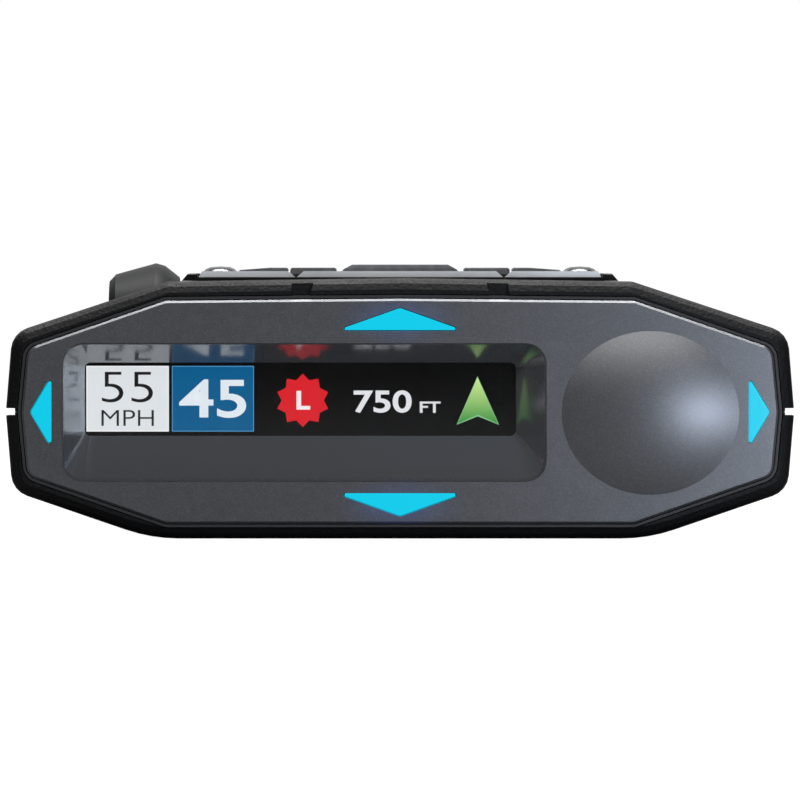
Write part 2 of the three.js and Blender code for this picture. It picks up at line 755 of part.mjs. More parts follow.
function dock() {
  const floor = shellSection.up - dockDepth;
  const plate = box(
    -dockWidth / 2 + fit, dockWidth / 2 - fit, dockY - dockLength / 2 + fit, dockY + dockLength / 2 - fit,
    floor + 0.05, floor + dockPlateThickness,
  );
  const slot = box(-5, 5, dockY - 7, dockY - 4, -far, far);
  add('dock_plate', 'steel', cut(plate, slot));
  const pinTop = floor + dockPlateThickness - 0.05;
  const pins = [-3, -1, 1, 3].map((x) => post(x, dockY - 5.5, 0.5, floor + 0.2, pinTop, 10));
  const base = box(-4.7, 4.7, dockY - 6.7, dockY - 4.3, floor + 0.05, floor + 0.5);
  add('dock_contacts', 'gold', join(base, ...pins));
}

function jackHousing(grow) {
  const fromX = wallInnerX(powerJackY, -1) + 0.3;
  return socketBox(powerSocket, powerJackY, fromX - grow, fromX + powerSocket.depth + 1.5 + grow, 0.9 + grow);
}

function ports() {
  const jackX = wallInnerX(powerJackY, -1);
  add('power_jack', 'gloss', cut(
    jackHousing(0),
    socketBox(powerSocket, powerJackY, jackX - 1, jackX + powerSocket.depth, 0),
  ));
  const audioX = wallInnerX(audioJackY, -1) - shellWall + 0.4;
  add('audio_jack', 'steel', cut(
    bar(audioX, audioX + 11, audioJackY, audioJackZ, audioJackRadius),
    bar(audioX - 1, audioX + 10, audioJackY, audioJackZ, audioBore, 12),
  ));
  const usbX = wallInnerX(usbY, 1) - 0.3;
  add('usb_port', 'steel', cut(
    socketBox(usbSize, usbY, usbX - usbSize.depth, usbX, 0.4),
    socketBox(usbSize, usbY, usbX - usbSize.depth + 1, usbX + 1, 0),
  ));
  const readerX = wallInnerX(cardY, 1) - 0.3;
  const readerFloor = { ...card, height: card.height + 1.2, width: card.width + 1.6 };
  add('card_reader', 'steel', cut(
    socketBox(readerFloor, cardY, readerX - card.length - 1, readerX, 0),
    socketBox(card, cardY, readerX - card.length, readerX + 1, 0.15),
  ));
  const cardX = readerX - card.length + slip;
  add('memory_card', 'gloss', socketBox(card, cardY, cardX, cardX + card.length + shellWall + 0.4, -0.05));
}

function horn(name, mouthY, throatY, x, mouth, throat) {
  const outline = (size, grow) => rectangle({
    left: x - size[0] / 2, right: x + size[0] / 2, bottom: -size[1] / 2, top: size[1] / 2,
  }, grow);
  const ends = [{ y: mouthY, size: mouth }, { y: throatY, size: throat }].sort((a, b) => a.y - b.y);
  const outer = loft(ends.map(({ y, size }) => ({ y, outline: outline(size, 1) })));
  const mouthOut = Math.sign(mouthY - throatY);
  const inner = loft(ends.map(({ y, size }) => ({
    y: y === mouthY ? y + mouthOut * 0.01 : y + mouthOut * 1.2, outline: outline(size, 0),
  })));
  add(name, 'cast', cut(outer, inner));
}

function insides() {
  const bossHoles = screwPlaces.map(([x, y]) => post(x, y, bossRadius + 0.4, -far, far));
  const boardRear = shellRearY - 26;
  const boardFront = screwRows[0] - bossRadius - 0.6;
  const board = box(
    -mainBoardHalfWidth, mainBoardHalfWidth, boardFront, boardRear, boardTop - boardThickness, boardTop,
  );
  add('main_board', 'board', cut(board, ...bossHoles));
  add('rf_module', 'steel', box(-8, 18, boardRear - 24, boardRear - 2, boardTop + fit, boardTop + 6.5));
  horn('front_horn', shellRearY - 1, boardRear + 2, 4, [24, 15], [9, 5]);
  horn('rear_horn', boardFrontY, screwRows[0] - bossRadius - 1, domeCentre.x, [17, 12], [9, 5]);
  const antennaFront = boardFront + 13;
  add('gps_antenna', 'ceramic', box(
    -32, -16, antennaFront, antennaFront + 16, boardTop + fit, boardTop + 4.1,
  ));
  const lens = turned([[0, 0], [6, 0], [6, 1.6], [4.4, 2.9], [2.2, 3.7], [0, 4]], 24).rotateX(-Math.PI / 2);
  add('laser_lens', 'glass', lens.translate(26, shellRearY + 2, 0));
  add('laser_module', 'gloss', box(20, 32, shellRearY - 10, shellRearY + 1.8, -6, 6));
  const cone = turned([
    [0, 0.6], [3, 0.6], [9, 0], [speakerRadius, 0], [speakerRadius, 1.6], [7, 2.2], [7, speakerHeight],
    [0, speakerHeight],
  ], 24);
  add('speaker', 'steel', cone.translate(speakerX, speakerY, -shellSection.down + shellWall + fit));
}

function underside() {
  const ends = ['front_left', 'front_right', 'rear_left', 'rear_right'];
  footPlaces.forEach(([x, y], i) => {
    add(`foot_${ends[i]}`, 'rubber', post(x, y, footRadius, -belowSeam, footHeight - belowSeam, 24));
  });
  screwPlaces.forEach(([x, y], i) => {
    const head = -shellSection.down + 0.5;
    const body = join(
      post(x, y, screwHeadRadius, head, head + 1.5),
      post(x, y, screwShaftRadius, head + 1, 7, 12),
    );
    const socket = post(x, y, 1.1, head - 1, head + 0.8, 6);
    add(`case_screw_${ends[i]}`, 'steel', cut(body, socket));
  });
}

add('front_bezel', 'satinFace', frontBezel());
add('face_gasket', 'rubber', faceGasket());
add('upper_lip', 'rubber', lipHalf(1));
add('lower_lip', 'rubber', lipHalf(-1));
displayStack();
arrowLights();
add('upper_shell', 'shell', upperShell());
add('lower_shell', 'shell', lowerShell());
add('nose_window', 'nose', noseWindow());
add('control_deck', 'gloss', controlDeck());
deckStrips();
addKeys();
camera();
dock();
ports();
insides();
underside();

const part = new THREE.Group();
part.add(device);

export default part;
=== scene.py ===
"""Radar detector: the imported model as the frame, refined pieces, procedural finishes and a plain studio."""

import json
import math

import bmesh
import bpy
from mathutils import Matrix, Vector


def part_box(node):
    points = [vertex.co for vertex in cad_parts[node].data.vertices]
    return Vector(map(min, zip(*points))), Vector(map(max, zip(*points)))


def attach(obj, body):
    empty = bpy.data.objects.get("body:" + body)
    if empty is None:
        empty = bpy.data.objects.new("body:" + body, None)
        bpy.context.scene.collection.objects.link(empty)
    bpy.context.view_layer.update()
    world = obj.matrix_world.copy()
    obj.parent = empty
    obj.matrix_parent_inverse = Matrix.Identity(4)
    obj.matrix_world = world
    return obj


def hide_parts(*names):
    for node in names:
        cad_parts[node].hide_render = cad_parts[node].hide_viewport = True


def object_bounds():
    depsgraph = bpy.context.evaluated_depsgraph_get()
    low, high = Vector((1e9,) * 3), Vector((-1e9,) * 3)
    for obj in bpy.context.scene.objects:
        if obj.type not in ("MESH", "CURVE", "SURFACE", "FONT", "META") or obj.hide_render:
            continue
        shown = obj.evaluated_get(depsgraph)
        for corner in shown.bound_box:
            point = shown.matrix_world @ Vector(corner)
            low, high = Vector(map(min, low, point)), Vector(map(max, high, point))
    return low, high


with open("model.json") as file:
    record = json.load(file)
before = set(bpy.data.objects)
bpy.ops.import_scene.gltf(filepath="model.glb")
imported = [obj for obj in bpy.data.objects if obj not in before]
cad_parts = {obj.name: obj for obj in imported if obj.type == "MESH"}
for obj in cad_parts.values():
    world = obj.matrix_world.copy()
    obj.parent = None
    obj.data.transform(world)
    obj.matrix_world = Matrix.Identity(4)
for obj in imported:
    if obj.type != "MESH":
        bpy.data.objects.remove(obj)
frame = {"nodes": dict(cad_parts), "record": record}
CAD_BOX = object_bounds()

bl_info = {
    "name": "Radar Detector Builder",
    "version": (1, 0, 0),
    "blender": (4, 5, 0),
    "location": "3D View > Sidebar > Detector",
    "description": "Builds a windshield radar detector with lit readouts on its packed frame",
    "category": "Add Mesh",
}

MM = 0.001
FLOOR_GAP = 0.02 * MM
FACE_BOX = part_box("front_bezel")
GLASS_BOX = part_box("display_window")
PANEL_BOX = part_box("display_panel")
LIP_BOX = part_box("lower_lip")
HALF_LIP_GAP = 0.03 * MM
SEAM_Z = LIP_BOX[1].z + HALF_LIP_GAP
# The flat face lies this far in front of the bezel's back; only the dome stands further out.
BEZEL_DEPTH = 5.8 * MM
FLAT_FACE_Y = FACE_BOX[1].y - BEZEL_DEPTH
SIDES = ("top", "bottom", "left", "right")
PAD_KEYS = ("volume_down", "volume_up", "mute", "brightness", "sensitivity")
DOME_KEYS = ("power", "mark")


# ------------------------------------------------------------------ settings


class DetectorSizes(bpy.types.PropertyGroup):
    """Sizes of what is added to the frame."""

    edge_round: bpy.props.FloatProperty(
        name="Edge round", description="Rounding on moulded edges", default=0.14 * MM, unit="LENGTH"
    )
    fine_round: bpy.props.FloatProperty(
        name="Fine round", description="Rounding on small crisp edges", default=0.07 * MM, unit="LENGTH"
    )
    ink_depth: bpy.props.FloatProperty(
        name="Readout depth", description="Thickness of a lit readout", default=0.02 * MM, unit="LENGTH"
    )
    camera_distance: bpy.props.FloatProperty(
        name="Camera distance", description="From the face to the camera", default=0.9, unit="LENGTH"
    )
    camera_rise: bpy.props.FloatProperty(
        name="Camera rise", description="Camera height above the seam", default=0.018, unit="LENGTH"
    )


def colour_property(name, description, default):
    return bpy.props.FloatVectorProperty(
        name=name, description=description, default=default, subtype="COLOR", size=3, min=0, max=1
    )


class DetectorColours(bpy.types.PropertyGroup):
    """Colours of the finishes, in linear light."""

    face: colour_property("Face", "Satin gunmetal of the face", (0.150, 0.153, 0.159))
    shell: colour_property("Shell", "Moulded case plastic", (0.007, 0.0072, 0.0076))
    recess: colour_property("Recess", "Polished walls round the display", (0.27, 0.28, 0.295))
    lip: colour_property("Lip", "Rubber lip round the face", (0.003, 0.003, 0.0034))
    strip: colour_property("Strip", "Grey strip in front of the keys", (0.88, 0.89, 0.90))
    pad: colour_property("Keys", "Key pads", (0.12, 0.122, 0.126))
    barrel: colour_property("Barrel", "Camera barrel", (0.006, 0.0065, 0.007))
    arrow: colour_property("Arrows", "Lit direction arrows", (0.0, 0.60, 0.82))
    limit_tile: colour_property("Speed tile", "Tile behind the thin figures", (0.78, 0.81, 0.83))
    speed_tile: colour_property("Second tile", "Tile behind the bold figures", (0.0, 0.11, 0.27))
    alert: colour_property("Alert", "Starburst badge", (0.72, 0.012, 0.02))
    pointer_low: colour_property("Pointer foot", "Foot of the pointer", (0.0, 0.28, 0.04))
    pointer_high: colour_property("Pointer tip", "Tip of the pointer", (0.62, 0.86, 0.30))
    board: colour_property("Boards", "Circuit board mask", (0.008, 0.06, 0.025))
    floor: colour_property("Floor", "Studio floor, as the object's light meets it", (0.108, 0.108, 0.108))


def sizes():
    return bpy.context.scene.detector_sizes


def colours():
    return bpy.context.scene.detector_colours


# ------------------------------------------------------------------ shader effects


def effect_group(name, inputs, outputs):
    """A new shader node group with float inputs {name: default} and the named float outputs."""
    group = bpy.data.node_groups.new(name, "ShaderNodeTree")
    for label, default in inputs.items():
        socket = group.interface.new_socket(label, in_out="INPUT", socket_type="NodeSocketFloat")
        socket.default_value = default
    for label in outputs:
        group.interface.new_socket(label, in_out="OUTPUT", socket_type="NodeSocketFloat")
    return group, group.nodes.new("NodeGroupInput"), group.nodes.new("NodeGroupOutput")


def add_node(tree, kind, links=None, **settings):
    """A node with its settings and with links {input: source socket or value}."""
    node = tree.nodes.new(kind)
    for key, value in settings.items():
        setattr(node, key, value)
    for key, source in (links or {}).items():
        if isinstance(source, bpy.types.NodeSocket):
            tree.links.new(source, node.inputs[key])
        else:
            node.inputs[key].default_value = source
    return node


def remap(tree, value, low, high, to_low=0.0, to_high=1.0):
    links = {"Value": value, "From Min": low, "From Max": high, "To Min": to_low, "To Max": to_high}
    return add_node(tree, "ShaderNodeMapRange", links).outputs["Result"]


def maths(tree, operation, a, b=0.5):
    return add_node(tree, "ShaderNodeMath", {0: a, 1: b}, operation=operation).outputs[0]


def make_grain():
    """Moulded grain: a fine height and a broad, slow change of tone."""
    tree, ins, outs = effect_group("grain", {"Scale": 4000.0, "Tone Scale": 60.0}, ("Height", "Tone"))
    place = add_node(tree, "ShaderNodeTexCoord").outputs["Object"]
    cells = add_node(tree, "ShaderNodeTexVoronoi", {"Vector": place, "Scale": ins.outputs["Scale"]})
    fine = add_node(
        tree, "ShaderNodeTexNoise", {"Vector": place, "Scale": ins.outputs["Scale"], "Detail": 3.0}
    )
    broad = add_node(
        tree, "ShaderNodeTexNoise", {"Vector": place, "Scale": ins.outputs["Tone Scale"], "Detail": 4.0}
    )
    height = maths(tree, "ADD", maths(tree, "MULTIPLY", cells.outputs["Distance"], 0.6), fine.outputs[0])
    tree.links.new(height, outs.inputs["Height"])
    tree.links.new(remap(tree, broad.outputs[0], 0.3, 0.7), outs.inputs["Tone"])
    return tree


def make_sparkle():
    """Metal flakes in paint: a mask of small bright cells."""
    tree, ins, outs = effect_group("sparkle", {"Scale": 9000.0, "Rarity": 0.75}, ("Flakes", "Height"))
    place = add_node(tree, "ShaderNodeTexCoord").outputs["Object"]
    cells = add_node(tree, "ShaderNodeTexVoronoi", {"Vector": place, "Scale": ins.outputs["Scale"]})
    tone = add_node(tree, "ShaderNodeSeparateColor", {"Color": cells.outputs["Color"]}).outputs[0]
    flakes = remap(tree, tone, ins.outputs["Rarity"], 1.0)
    tree.links.new(flakes, outs.inputs["Flakes"])
    tree.links.new(tone, outs.inputs["Height"])
    return tree


def make_edge_wear():
    """Rubbed edges: a mask where the surface is convex, broken up by noise."""
    tree, ins, outs = effect_group("edge_wear", {"Width": 0.06, "Breakup": 900.0}, ("Mask",))
    place = add_node(tree, "ShaderNodeTexCoord").outputs["Object"]
    pointy = add_node(tree, "ShaderNodeNewGeometry").outputs["Pointiness"]
    top = maths(tree, "ADD", ins.outputs["Width"], 0.5)
    edge = remap(tree, pointy, 0.5, top)
    noise = add_node(tree, "ShaderNodeTexNoise", {"Vector": place, "Scale": ins.outputs["Breakup"]})
    mask = maths(tree, "MULTIPLY", edge, remap(tree, noise.outputs[0], 0.35, 0.7))
    tree.links.new(mask, outs.inputs["Mask"])
    return tree


def make_dust_and_top_light():
    """Pale dust on surfaces that face up and do not slope to either side; it also paints light on these tops.
    """
    tree, ins, outs = effect_group("dust_and_top_light", {"Scale": 700.0}, ("Mask",))
    place = add_node(tree, "ShaderNodeTexCoord").outputs["Object"]
    normal = add_node(tree, "ShaderNodeNewGeometry").outputs["Normal"]
    facing = add_node(tree, "ShaderNodeSeparateXYZ", {"Vector": normal}).outputs
    sideways = remap(tree, maths(tree, "ABSOLUTE", facing["X"]), 0.32, 0.1)
    level = maths(tree, "MULTIPLY", remap(tree, facing["Z"], 0.5, 0.9), sideways)
    noise = add_node(
        tree, "ShaderNodeTexNoise", {"Vector": place, "Scale": ins.outputs["Scale"], "Detail": 6.0}
    )
    mask = maths(tree, "MULTIPLY", level, remap(tree, noise.outputs[0], 0.42, 0.64))
    tree.links.new(mask, outs.inputs["Mask"])
    return tree


def make_streaks():
    """Long fine scratches from brushing along X."""
    tree, ins, outs = effect_group("streaks", {"Scale": 3000.0}, ("Height",))
    place = add_node(tree, "ShaderNodeTexCoord").outputs["Object"]
    stretched = add_node(
        tree, "ShaderNodeVectorMath", {0: place, 1: (0.02, 1.0, 1.0)}, operation="MULTIPLY"
    ).outputs[0]
    noise = add_node(
        tree, "ShaderNodeTexNoise", {"Vector": stretched, "Scale": ins.outputs["Scale"], "Detail": 2.0}
    )
    tree.links.new(noise.outputs[0], outs.inputs["Height"])
    return tree


EFFECTS = {
    "grain": make_grain,
    "sparkle": make_sparkle,
    "edge_wear": make_edge_wear,
    "dust_and_top_light": make_dust_and_top_light,
    "streaks": make_streaks,
}


def effect(tree, name, **values):
    """One use of a shared effect, built the first time it is asked for."""
    group = bpy.data.node_groups.get(name) or EFFECTS[name]()
    node = add_node(tree, "ShaderNodeGroup", node_tree=group)
    for key, value in values.items():
        node.inputs[key.replace("_", " ")].default_value = value
    return node


def blend_colour(tree, share, a, b):
    """Colour a going to colour b as share goes from 0 to 1."""
    node = add_node(tree, "ShaderNodeMix", data_type="RGBA")
    for index, source in ((0, share), (6, a), (7, b)):
        if isinstance(source, bpy.types.NodeSocket):
            tree.links.new(source, node.inputs[index])
        else:
            node.inputs[index].default_value = source if index == 0 else (*source[:3], 1.0)
    return node.outputs[2]


def scaled(colour, factor):
    return tuple(min(1.0, channel * factor) for channel in colour)


# ------------------------------------------------------------------ finishes

def new_finish(name):
    """A new material with its node tree and shader, or the one that was made before with no tree."""
    name = f"finish_{name}"
    material = bpy.data.materials.get(name)
    if material:
        return material, None, None
    material = bpy.data.materials.new(name)
    material.use_nodes = True
    tree = material.node_tree
    return material, tree, tree.nodes["Principled BSDF"]


def moulded(
    name, colour, roughness, metallic=0.0, grain=5000.0, depth=0.01, tone=0.12, wear=0.0, dust_and_top_light=0.0,
    coat=0.0, streak=0.0, specular=0.5, dust_and_top_light_scale=700.0,
):
    """A moulded, painted or metal finish with grain, tone, worn edges, and pale dust that also paints light
    on up-facing tops.
    """
    material, tree, shader = new_finish(name)
    if tree is None:
        return material
    texture = effect(tree, "grain", Scale=grain, Tone_Scale=70.0)
    base = blend_colour(
        tree, texture.outputs["Tone"], scaled(colour, 1.0 - tone), scaled(colour, 1.0 + tone)
    )
    if wear:
        mask = effect(tree, "edge_wear").outputs["Mask"]
        share = maths(tree, "MULTIPLY", mask, wear)
        base = blend_colour(tree, share, base, tuple(min(1.0, channel * 2.2 + 0.02) for channel in colour))
    # Pale grey on up-facing tops: partly real dust, partly painted light on these tops.
    if dust_and_top_light:
        share = maths(tree, "MULTIPLY", effect(tree, "dust_and_top_light", Scale=dust_and_top_light_scale).outputs["Mask"], dust_and_top_light)
        base = blend_colour(tree, share, base, (0.32, 0.31, 0.29))
    tree.links.new(base, shader.inputs["Base Color"])
    rough = remap(tree, texture.outputs["Tone"], 0.0, 1.0, roughness * 0.9, min(1.0, roughness * 1.12))
    tree.links.new(rough, shader.inputs["Roughness"])
    shader.inputs["Metallic"].default_value = metallic
    shader.inputs["Coat Weight"].default_value = coat
    shader.inputs["Specular IOR Level"].default_value = specular
    height = texture.outputs["Height"]
    if streak:
        height = effect(tree, "streaks", Scale=streak).outputs["Height"]
    bump = add_node(tree, "ShaderNodeBump", {"Height": height, "Strength": 0.6, "Distance": depth * MM})
    tree.links.new(bump.outputs[0], shader.inputs["Normal"])
    return material


def clear_glass(name, tint, roughness=0.02):
    """Clear coated glass with the faintest smudging."""
    material, tree, shader = new_finish(name)
    if tree is None:
        return material
    smudge = effect(tree, "grain", Scale=600.0, Tone_Scale=120.0)
    rough = remap(tree, smudge.outputs["Tone"], 0.0, 1.0, roughness, roughness + 0.03)
    tree.links.new(rough, shader.inputs["Roughness"])
    base = blend_colour(tree, smudge.outputs["Tone"], tint, scaled(tint, 0.97))
    tree.links.new(base, shader.inputs["Base Color"])
    shader.inputs["Transmission Weight"].default_value = 1.0
    shader.inputs["IOR"].default_value = 1.45
    bump = add_node(
        tree, "ShaderNodeBump", {"Height": smudge.outputs["Height"], "Strength": 0.05, "Distance": 0.002 * MM}
    )
    tree.links.new(bump.outputs[0], shader.inputs["Normal"])
    return material


def lit(name, colour, strength, second=None, low=0.0, high=1.0):
    """A lit surface, in one colour or going up from it to a second; a fine dot pattern varies it."""
    material, tree, shader = new_finish(name)
    if tree is None:
        return material
    dots = effect(tree, "grain", Scale=9000.0, Tone_Scale=300.0)
    glow = blend_colour(tree, dots.outputs["Height"], scaled(colour, 0.94), colour)
    if second:
        place = add_node(tree, "ShaderNodeTexCoord").outputs["Object"]
        rise = add_node(tree, "ShaderNodeSeparateXYZ", {"Vector": place}).outputs["Z"]
        glow = blend_colour(tree, remap(tree, rise, low, high), glow, second)
    tree.links.new(glow, shader.inputs["Emission Color"])
    tree.links.new(blend_colour(tree, 0.85, glow, (0.0, 0.0, 0.0)), shader.inputs["Base Color"])
    shader.inputs["Emission Strength"].default_value = strength
    shader.inputs["Roughness"].default_value = 0.3
    return material


# The painted glow round a top or bottom arrow: how it is squeezed along X and Z into a flat oval, the
# distances at which it ends and is full, and how fast it falls off between them.
HALO_SQUEEZE = (0.55, 0.0, 1.35)
HALO_END = 5.2 * MM
HALO_FULL = 1.2 * MM
HALO_FALL = 2.4
PAINTED_HALO_COLOUR = (0.004, 0.022, 0.10)


def arrow_halo(tree, place, arrow_box):
    """A faint glow on the face, painted round an arrow's place: a mask that falls off from its middle."""
    low, high = arrow_box
    middle = tuple((low + high) / 2)
    offset = add_node(tree, "ShaderNodeVectorMath", {0: place, 1: middle}, operation="SUBTRACT").outputs[0]
    fitted = add_node(
        tree, "ShaderNodeVectorMath", {0: offset, 1: HALO_SQUEEZE}, operation="MULTIPLY"
    ).outputs[0]
    reach = add_node(tree, "ShaderNodeVectorMath", {0: fitted}, operation="LENGTH").outputs["Value"]
    return maths(tree, "POWER", remap(tree, reach, HALO_END, HALO_FULL), HALO_FALL)


# Depths behind the flat face at which the recess walls' finish begins and is full, and the share
# of the face's roughness that the polished walls keep.
RECESS_START = 0.12 * MM
RECESS_FULL = 0.4 * MM
RECESS_POLISH = 0.42


def satin_face(name="satin_face"):
    """Gunmetal paint with fine flakes and worn edges, polished recess walls and a painted glow round the top
    and bottom arrows.
    """
    material, tree, shader = new_finish(name)
    if tree is None:
        return material
    colour = tuple(colours().face)
    place = add_node(tree, "ShaderNodeTexCoord").outputs["Object"]
    texture = effect(tree, "grain", Scale=2600.0, Tone_Scale=18.0)
    flakes = effect(tree, "sparkle", Scale=9500.0, Rarity=0.5)
    base = blend_colour(tree, texture.outputs["Tone"], scaled(colour, 0.97), scaled(colour, 1.03))
    share = maths(tree, "MULTIPLY", flakes.outputs["Flakes"], 0.3)
    base = blend_colour(tree, share, base, scaled(colour, 2.0))
    mask = effect(tree, "edge_wear").outputs["Mask"]
    base = blend_colour(tree, maths(tree, "MULTIPLY", mask, 0.05), base, scaled(colour, 3.2))
    depth = add_node(tree, "ShaderNodeSeparateXYZ", {"Vector": place}).outputs["Y"]
    inside = remap(tree, depth, FLAT_FACE_Y + RECESS_START, FLAT_FACE_Y + RECESS_FULL)
    base = blend_colour(tree, inside, base, tuple(colours().recess))
    tree.links.new(base, shader.inputs["Base Color"])
    rough = remap(tree, flakes.outputs["Height"], 0.0, 1.0, 0.36, 0.42)
    polish = remap(tree, inside, 0.0, 1.0, 1.0, RECESS_POLISH)
    tree.links.new(maths(tree, "MULTIPLY", rough, polish), shader.inputs["Roughness"])
    shader.inputs["Metallic"].default_value = 0.72
    bump = add_node(
        tree, "ShaderNodeBump", {"Height": flakes.outputs["Height"], "Strength": 0.2, "Distance": 0.002 * MM}
    )
    tree.links.new(bump.outputs[0], shader.inputs["Normal"])
    # Painted glow: emission laid on the face round the top and bottom arrows by their places, not light cast
    # by them.
    halos = [arrow_halo(tree, place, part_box(f"arrow_light_{side}")) for side in SIDES[:2]]
    glow = maths(tree, "MAXIMUM", halos[0], halos[1])
    painted_halo = blend_colour(tree, glow, (0.0, 0.0, 0.0), PAINTED_HALO_COLOUR)
    tree.links.new(painted_halo, shader.inputs["Emission Color"])
    shader.inputs["Emission Strength"].default_value = 1.0
    return material


def case_finishes():
    """The finishes of the case, by material slot."""
    c = colours()
    return {
        "satin_face": satin_face,
        "rubber_seal": lambda: moulded("rubber_seal", (0.03, 0.03, 0.032), 0.6, grain=6000.0, depth=0.01),
        "rubber_lip": lambda: moulded(
            "rubber_lip", c.lip, 0.6, grain=2300.0, depth=0.12, tone=0.2, dust_and_top_light=0.11, specular=0.25,
            dust_and_top_light_scale=3200.0,
        ),
        "display_glass": lambda: clear_glass("display_glass", (0.96, 0.97, 0.98)),
        "display_black": lambda: moulded(
            "display_black", (0.006, 0.006, 0.007), 0.18, grain=9000.0, depth=0.001
        ),
        "circuit_board": lambda: moulded("circuit_board", c.board, 0.45, grain=1500.0, depth=0.03, tone=0.25),
        "case_plastic": lambda: moulded(
            "case_plastic", c.shell, 0.55, grain=3600.0, depth=0.035, tone=0.12, wear=0.3, dust_and_top_light=0.03
        ),
        "nose_plastic": lambda: moulded(
            "nose_plastic", (0.012, 0.004, 0.005), 0.24, grain=900.0, depth=0.002, coat=0.6, dust_and_top_light=0.05
        ),
        "deck_black": lambda: moulded(
            "deck_black", (0.005, 0.005, 0.006), 0.4, grain=5200.0, depth=0.006, wear=0.3, dust_and_top_light=0.08,
            coat=0.3, specular=0.2,
        ),
        "strip_grey": lambda: moulded(
            "strip_grey", c.strip, 0.42, metallic=0.35, grain=7000.0, depth=0.006, wear=0.4
        ),
        "key_grey": lambda: moulded("key_grey", c.pad, 0.48, grain=6500.0, depth=0.012, wear=0.35, dust_and_top_light=0.06),
        "dome_key": lambda: moulded(
            "dome_key", (0.05, 0.052, 0.056), 0.26, grain=6500.0, depth=0.006, coat=0.3
        ),
        "barrel_grey": lambda: moulded(
            "barrel_grey", c.barrel, 0.52, specular=0.35, grain=5000.0, depth=0.014, wear=0.1, dust_and_top_light=0.02
        ),
        "lens_glass": lambda: clear_glass("lens_glass", (0.55, 0.60, 0.85)),
        "steel": lambda: moulded(
            "steel", (0.20, 0.20, 0.21), 0.46, metallic=1.0, streak=2600.0, depth=0.01, wear=0.2
        ),
        "gold_contact": lambda: moulded(
            "gold_contact", (0.45, 0.29, 0.09), 0.4, metallic=1.0, grain=4000.0, depth=0.004
        ),
        "card_plastic": lambda: moulded("card_plastic", (0.012, 0.012, 0.013), 0.5, grain=5000.0, depth=0.02),
        "cast_metal": lambda: moulded(
            "cast_metal", (0.24, 0.24, 0.25), 0.55, metallic=0.9, grain=1800.0, depth=0.05, tone=0.2
        ),
        "antenna_ceramic": lambda: moulded(
            "antenna_ceramic", (0.44, 0.37, 0.27), 0.6, grain=2400.0, depth=0.03, tone=0.15
        ),
        "led_white": lambda: lit("led_white", (0.75, 0.93, 1.0), 1.2),
        "screw_black": lambda: moulded(
            "screw_black", (0.02, 0.02, 0.021), 0.36, metallic=0.8, streak=3200.0, depth=0.008, wear=0.8
        ),
        "arrow_glow": lambda: lit("arrow_glow", tuple(c.arrow), 0.92),
    }


def slot_of(node):
    for entry in frame["record"]["subparts"]:
        if entry["node"] == node:
            return entry["material_slot"]
    raise RuntimeError(f"the record names no slot for {node}")


def body_of(node):
    for name, nodes in frame["record"]["behaviour"]["bodies"].items():
        if node in nodes:
            return name
    raise RuntimeError(f"the record names no body for {node}")


def finish_for(slot_name):
    """The material of a slot; it is made once."""
    return case_finishes()[slot_name]()


# ------------------------------------------------------------------ pieces


def show(mesh, name, body, material):
    """Puts a mesh in the scene as a piece that rides on a body."""
    piece = bpy.data.objects.new(name, mesh)
    bpy.context.scene.collection.objects.link(piece)
    mesh.materials.clear()
    mesh.materials.append(material)
    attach(piece, body)
    return piece


def soften(mesh, crease):
    """Smooth shading with creases where faces meet at more than `crease` degrees."""
    mesh.polygons.foreach_set("use_smooth", [True] * len(mesh.polygons))
    mesh.set_sharp_from_angle(angle=math.radians(crease))


def crease_front_outlines(mesh):
    """Creases every edge between the flat front and a face that tilts away from it."""
    tilts = {}
    for polygon in mesh.polygons:
        for key in polygon.edge_keys:
            tilts.setdefault(key, []).append(-polygon.normal.y)
    for edge in mesh.edges:
        sides = tilts.get(tuple(sorted(edge.vertices)), [])
        if len(sides) == 2 and max(sides) > 0.9999 and min(sides) < 0.999:
            edge.use_edge_sharp = True


def refined(node, rounding, crease=32.0, bevel_above=28.0):
    """A finer piece for a node: joined faces, rounded edges and smooth shading."""
    work = bmesh.new()
    work.from_mesh(frame["nodes"][node].data)
    bmesh.ops.remove_doubles(work, verts=work.verts, dist=0.0015 * MM)
    bmesh.ops.dissolve_limit(
        work, angle_limit=math.radians(0.6), verts=work.verts, edges=work.edges
    )
    low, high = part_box(node)
    if rounding:
        sharp = [
            edge for edge in work.edges
            if len(edge.link_faces) == 2 and edge.calc_face_angle(0.0) > math.radians(bevel_above)
        ]
        bmesh.ops.bevel(
            work, geom=sharp, offset=rounding, segments=2, profile=0.6, affect="EDGES", clamp_overlap=True
        )
    for vert in work.verts:
        for axis in range(3):
            vert.co[axis] = min(max(vert.co[axis], low[axis]), high[axis])
    mesh = bpy.data.meshes.new(f"{node}_fine")
    work.to_mesh(mesh)
    work.free()
    soften(mesh, crease)
    piece = show(mesh, f"{node}_fine", body_of(node), finish_for(slot_of(node)))
    weighted = piece.modifiers.new("even_shading", "WEIGHTED_NORMAL")
    weighted.keep_sharp = True
    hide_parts(node)
    return piece


def keep_node(node):
    """A node that stays as it is and takes its slot's finish."""
    materials = frame["nodes"][node].data.materials
    materials.clear()
    materials.append(finish_for(slot_of(node)))


def plate_from_outline(name, outline, front_y, depth, material):
    """A thin lit plate that faces the driver, from a flat outline [(x, z)]."""
    work = bmesh.new()
    front = [work.verts.new((x, front_y, z)) for x, z in outline]
    back = [work.verts.new((x, front_y + depth, z)) for x, z in outline]
    work.faces.new(front)
    work.faces.new(list(reversed(back)))
    for i, vert in enumerate(front):
        ahead = (i + 1) % len(front)
        work.faces.new((vert, back[i], back[ahead], front[ahead]))
    bmesh.ops.recalc_face_normals(work, faces=work.faces)
    mesh = bpy.data.meshes.new(name)
    work.to_mesh(mesh)
    work.free()
    show(mesh, name, "case", material)


